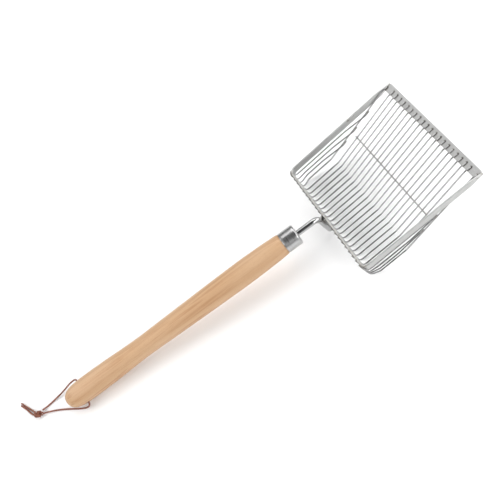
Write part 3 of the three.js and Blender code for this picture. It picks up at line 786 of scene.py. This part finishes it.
# ---------------------------------------------------------------- neck rod
TANG_U = FERRULE_FRONT + FERRULE_T + 0.3 + TANG_DEPTH
rod_axis = Vector((0, -math.cos(BR), math.sin(BR)))
tip = ROD_BOTTOM + ROD_R
pts = route([(Vector((0, ROD_Y, AXIS_Z)) + rod_axis * TANG_U,), ((0, ROD_Y, AXIS_Z), ROD_BEND, 16), ((0, ROD_Y, tip),)])
pts = [place(p) for p in resample(pts, 1.4)]
down = turn((0, 0, -1))
tip_p = pts[-1]
rings = [(p, 1.0) for p in pts]
for k in range(1, 10):
    a = math.radians(90 * k / 9.4)
    rings.append((tip_p + down * (ROD_R * math.sin(a) * 0.93), math.cos(a)))
verts, flow, tint, faces = [], [], [], []
run, sides = 0.0, 40
for i, (p, s) in enumerate(rings):
    q0 = rings[max(0, i - 1)][0]; q1 = rings[min(len(rings) - 1, i + 1)][0]
    t = (q1 - q0).normalized()
    if i:
        run += (p - rings[i - 1][0]).length
    nn_ = RX; bb = t.cross(nn_).normalized()
    for k in range(sides):
        a = 2 * math.pi * k / sides
        v = p + nn_ * (math.cos(a) * ROD_R * s) + bb * (math.sin(a) * ROD_R * s)
        verts.append(v)
        flow.append((run, math.cos(a) * ROD_R, math.sin(a) * ROD_R))
        # darkened where it is welded to the rim, near y of the band and z -1..-9: partly weld heat colour, partly
        # painted shade in the gap between the rod's bend and the band
        d = min((v - place((0.0, -3.2, h))).length for h in (-2.0, -5.0, -8.0))
        tint.append(0.7 * (1 - smoothstep(2.6, 5.4, d)))
for i in range(len(rings) - 1):
    for k in range(sides):
        k2 = (k + 1) % sides
        faces.append((i * sides + k, i * sides + k2, (i + 1) * sides + k2, (i + 1) * sides + k))
faces.append(tuple(range(sides)))
faces.append(tuple((len(rings) - 1) * sides + k for k in range(sides)))
finish_piece(new_mesh("neck_bent_rod", verts, faces, flow, tint, sharp_deg=50), "rod_steel", M_ROD, "neck_rod")
spots = []
for s in (-1, 1):
    for k in range(5):
        w = noise.noise(Vector((s * 5.0, k * 1.1, 0)))
        spots.append((place((s * (3.35 + 0.2 * w), -3.05 + 0.15 * w, -1.6 - 1.75 * k)), (1.15, 1.0, 1.15), RX, RY))
spots.append((place((0.0, -3.2, -10.2)), (2.6, 0.75, 0.8), RX, RY))
finish_piece(lumps("welds_neck_rod", spots, 8.0), "rod_steel", M_WELD)


# ---------------------------------------------------------------- turned pieces
def revolve(name, profile, u0, sides):
    """profile = [(radius, along)] open from axis to axis, or closed on itself."""
    closed = profile[0] == profile[-1]
    prof_ = profile[:-1] if closed else profile
    verts_, faces_, rows = [], [], []
    for (rr, u) in prof_:
        if rr < 1e-6:
            rows.append([len(verts_)]); verts_.append(axis_at(u0 + u))
            continue
        row = []
        for k_ in range(sides):
            a_ = 2 * math.pi * k_ / sides
            row.append(len(verts_))
            verts_.append(axis_at(u0 + u) + RX * (rr * math.cos(a_)) + AX_UP * (rr * math.sin(a_)))
        rows.append(row)
    pairs = list(zip(rows, rows[1:])) + ([(rows[-1], rows[0])] if closed else [])
    for A, B in pairs:
        for k_ in range(sides):
            k2_ = (k_ + 1) % sides
            if len(A) == 1 and len(B) == 1:
                continue
            if len(A) == 1:
                faces_.append((A[0], B[k2_], B[k_]))
            elif len(B) == 1:
                faces_.append((A[k_], A[k2_], B[0]))
            else:
                faces_.append((A[k_], A[k2_], B[k2_], B[k_]))
    return new_mesh(name, verts_, faces_, sharp_deg=35)


def local_attributes(ob, u0, tint_of, turned):
    """flow in the handle's own coordinates, for every point of the mesh."""
    me = ob.data
    origin = axis_at(u0)
    fv, tv = [], []
    for v in me.vertices:
        p = v.co / MM - origin
        a_, b_, u = p.dot(RX), p.dot(AX_UP), p.dot(AX_DIR)
        fv += [u, a_, b_] if turned else [a_, b_, u]
        tv.append(tint_of(a_, b_, u, v.co / MM))
    for name, kind, field, values in (("flow", "FLOAT_VECTOR", "vector", fv), ("tint", "FLOAT", "value", tv)):
        if name not in me.attributes:
            me.attributes.new(name, kind, "POINT")
        me.attributes[name].data.foreach_set(field, np.array(values, dtype=np.float32))


# ferrule: a drawn cup with a rounded shoulder
o_, i_ = FERRULE_OR * 0.999, FERRULE_OR - FERRULE_T
prof = [(ROD_R + 0.25, 0.25), (ROD_R + 0.5, 0.02), (6.0, 0.0), (8.0, 0.0), (10.0, 0.0)]
for k in range(9):
    a = math.radians(90 * k / 8)
    prof.append((o_ - 2.1 + 2.1 * math.sin(a), 2.1 - 2.1 * math.cos(a)))
prof += [(o_, u) for u in (4.0, 6.0, 8.0, 10.0, 12.0, 14.0, 16.0, 17.6)]
prof += [(o_, FERRULE_LEN - 0.5), (o_ - 0.12, FERRULE_LEN - 0.15), (o_ - 0.4, FERRULE_LEN), (i_ + 0.15, FERRULE_LEN), (i_, FERRULE_LEN - 0.2),
         (i_, 2.4), (i_ - 0.9, 1.5), (ROD_R + 0.3, 1.5), (ROD_R + 0.25, 0.25)]
ob = revolve("ferrule_cup", prof, FERRULE_FRONT, 96)
local_attributes(ob, FERRULE_FRONT, lambda a_, b_, u, p: 0.62 * (1 - smoothstep(0.3, 4.0, math.hypot(a_, b_) - ROD_R)) * (u < 1.0)
                 + 0.25 * (1 - smoothstep(0.0, 0.8, FERRULE_LEN - u)), True)
finish_piece(ob, "ferrule_steel", M_FERRULE, "ferrule")

# handle
front = -(FERRULE_LEN - FERRULE_T - 0.3)
bore = ROD_R + 0.3
outline = spline([Vector((u, rr, 0)) for u, rr in WOOD_PROFILE], 150)
prof = [(0.0, front + TANG_DEPTH + 1.0), (bore, front + TANG_DEPTH + 1.0), (bore, front), (TENON_R - 0.8, front),
        (TENON_R, front + 0.8), (TENON_R, 0.35)]
prof += [(p.y * 0.996, p.x) for p in outline] + [(0.0, WOOD_LEN + 0.2)]
ob = revolve("handle_turned_wood", prof, FERRULE_BACK, 96)
cut_me = bpy.data.meshes.new("lanyard_drill")
bm = bmesh.new()
bmesh.ops.create_cone(bm, cap_ends=True, segments=40, radius1=HOLE_R * MM, radius2=HOLE_R * MM, depth=0.06)
q = Vector((0, 0, 1)).rotation_difference(HOLE_DIR)
bmesh.ops.transform(bm, matrix=Matrix.Translation(HOLE_MID * MM) @ q.to_matrix().to_4x4(), verts=bm.verts)
# the mouths are eased with a countersink
for s in (-1, 1):
    d = 15.75
    g = bmesh.ops.create_cone(bm, cap_ends=True, segments=40, radius1=(HOLE_R - 0.4) * MM, radius2=(HOLE_R + 1.6) * MM, depth=0.002)
    qq = Vector((0, 0, 1)).rotation_difference(HOLE_DIR * s)
    bmesh.ops.transform(bm, matrix=Matrix.Translation((HOLE_MID + HOLE_DIR * (s * d)) * MM) @ qq.to_matrix().to_4x4(), verts=g["verts"])
bm.to_mesh(cut_me); bm.free()
cutter = bpy.data.objects.new("lanyard_drill", cut_me)
scene.collection.objects.link(cutter)
mod = ob.modifiers.new("hole", "BOOLEAN")
mod.operation, mod.object, mod.solver, mod.use_self = "DIFFERENCE", cutter, "EXACT", True
deps = bpy.context.evaluated_depsgraph_get()
cut = bpy.data.meshes.new_from_object(ob.evaluated_get(deps))
ob.modifiers.clear()
ob.data = cut
bpy.data.objects.remove(cutter)
bm = bmesh.new(); bm.from_mesh(cut)
for e in bm.edges:
    e.smooth = not (len(e.link_faces) == 2 and e.calc_face_angle(0) > math.radians(28))
for f in bm.faces:
    f.smooth = True
bm.to_mesh(cut); bm.free()


def wood_tint(a_, b_, u, p):
    d = p - HOLE_MID
    along = d.dot(HOLE_DIR)
    rr = (d - HOLE_DIR * along).length
    t = 0.85 * (1 - smoothstep(HOLE_R - 0.1, HOLE_R + 1.8, rr))
    t = max(t, 0.35 * (1 - smoothstep(0.2, 1.8, u)))
    return t


local_attributes(ob, FERRULE_BACK, wood_tint, False)
finish_piece(ob, "handle_wood", M_WOOD, "handle")

# ---------------------------------------------------------------- floor and light
def plain(name, color, rough):
    k = Mat(name)
    k.set("Base Color", color)
    k.set("Roughness", rough)
    k.set("Specular IOR Level", 0.2)
    return k.m


me = bpy.data.meshes.new("floor")
me.from_pydata([(-6, -6, -0.0003), (6, -6, -0.0003), (6, 6, -0.0003), (-6, 6, -0.0003)], [], [(0, 1, 2, 3)])
floor = bpy.data.objects.new("floor", me)
scene.collection.objects.link(floor)
me.materials.append(plain("pale_floor", (0.97, 0.97, 0.97), 0.9))

world = bpy.data.worlds.new("studio")
scene.world = world
world.use_nodes = True
nt = world.node_tree
nt.nodes.clear()
o = nt.nodes.new("ShaderNodeOutputWorld")
bg = nt.nodes.new("ShaderNodeBackground")
tc = nt.nodes.new("ShaderNodeTexCoord")
sep = nt.nodes.new("ShaderNodeSeparateXYZ")
rmp = nt.nodes.new("ShaderNodeValToRGB")
rmp.color_ramp.elements[0].position = 0.0
rmp.color_ramp.elements[0].color = (0.20, 0.20, 0.20, 1)
rmp.color_ramp.elements[1].position = 1.0
rmp.color_ramp.elements[1].color = (0.04, 0.04, 0.042, 1)
nt.links.new(tc.outputs["Generated"], sep.inputs[0])
nt.links.new(sep.outputs[2], rmp.inputs[0])
nt.links.new(rmp.outputs[0], bg.inputs[0])
bg.inputs[1].default_value = 1.0
nt.links.new(bg.outputs[0], o.inputs[0])


def softbox(name, where, at, size, power, color=(1, 1, 1)):
    li = bpy.data.lights.new(name, "AREA")
    li.shape = "RECTANGLE"
    li.size, li.size_y = size
    li.energy = power
    li.color = color
    ob_ = bpy.data.objects.new(name, li)
    scene.collection.objects.link(ob_)
    ob_.location = where
    ob_.rotation_euler = (Vector(at) - Vector(where)).to_track_quat("-Z", "Y").to_euler()
    return ob_


softbox("key_back", (0.0, -1.70, 1.70), (0, 0.15, 0.05), (4.4, 1.2), 62)
softbox("over_left", (-1.25, 0.80, 1.85), (0, 0.0, 0.0), (2.2, 1.9), 32)
softbox("front", (0.3, 2.3, 1.2), (0, 0.0, 0.0), (3.0, 1.4), 34)
softbox("fill_right", (1.9, 1.0, 1.1), (0, -0.1, 0.05), (1.6, 1.0), 24)
scene.view_settings.view_transform = "Standard"
scene.view_settings.look = "None"
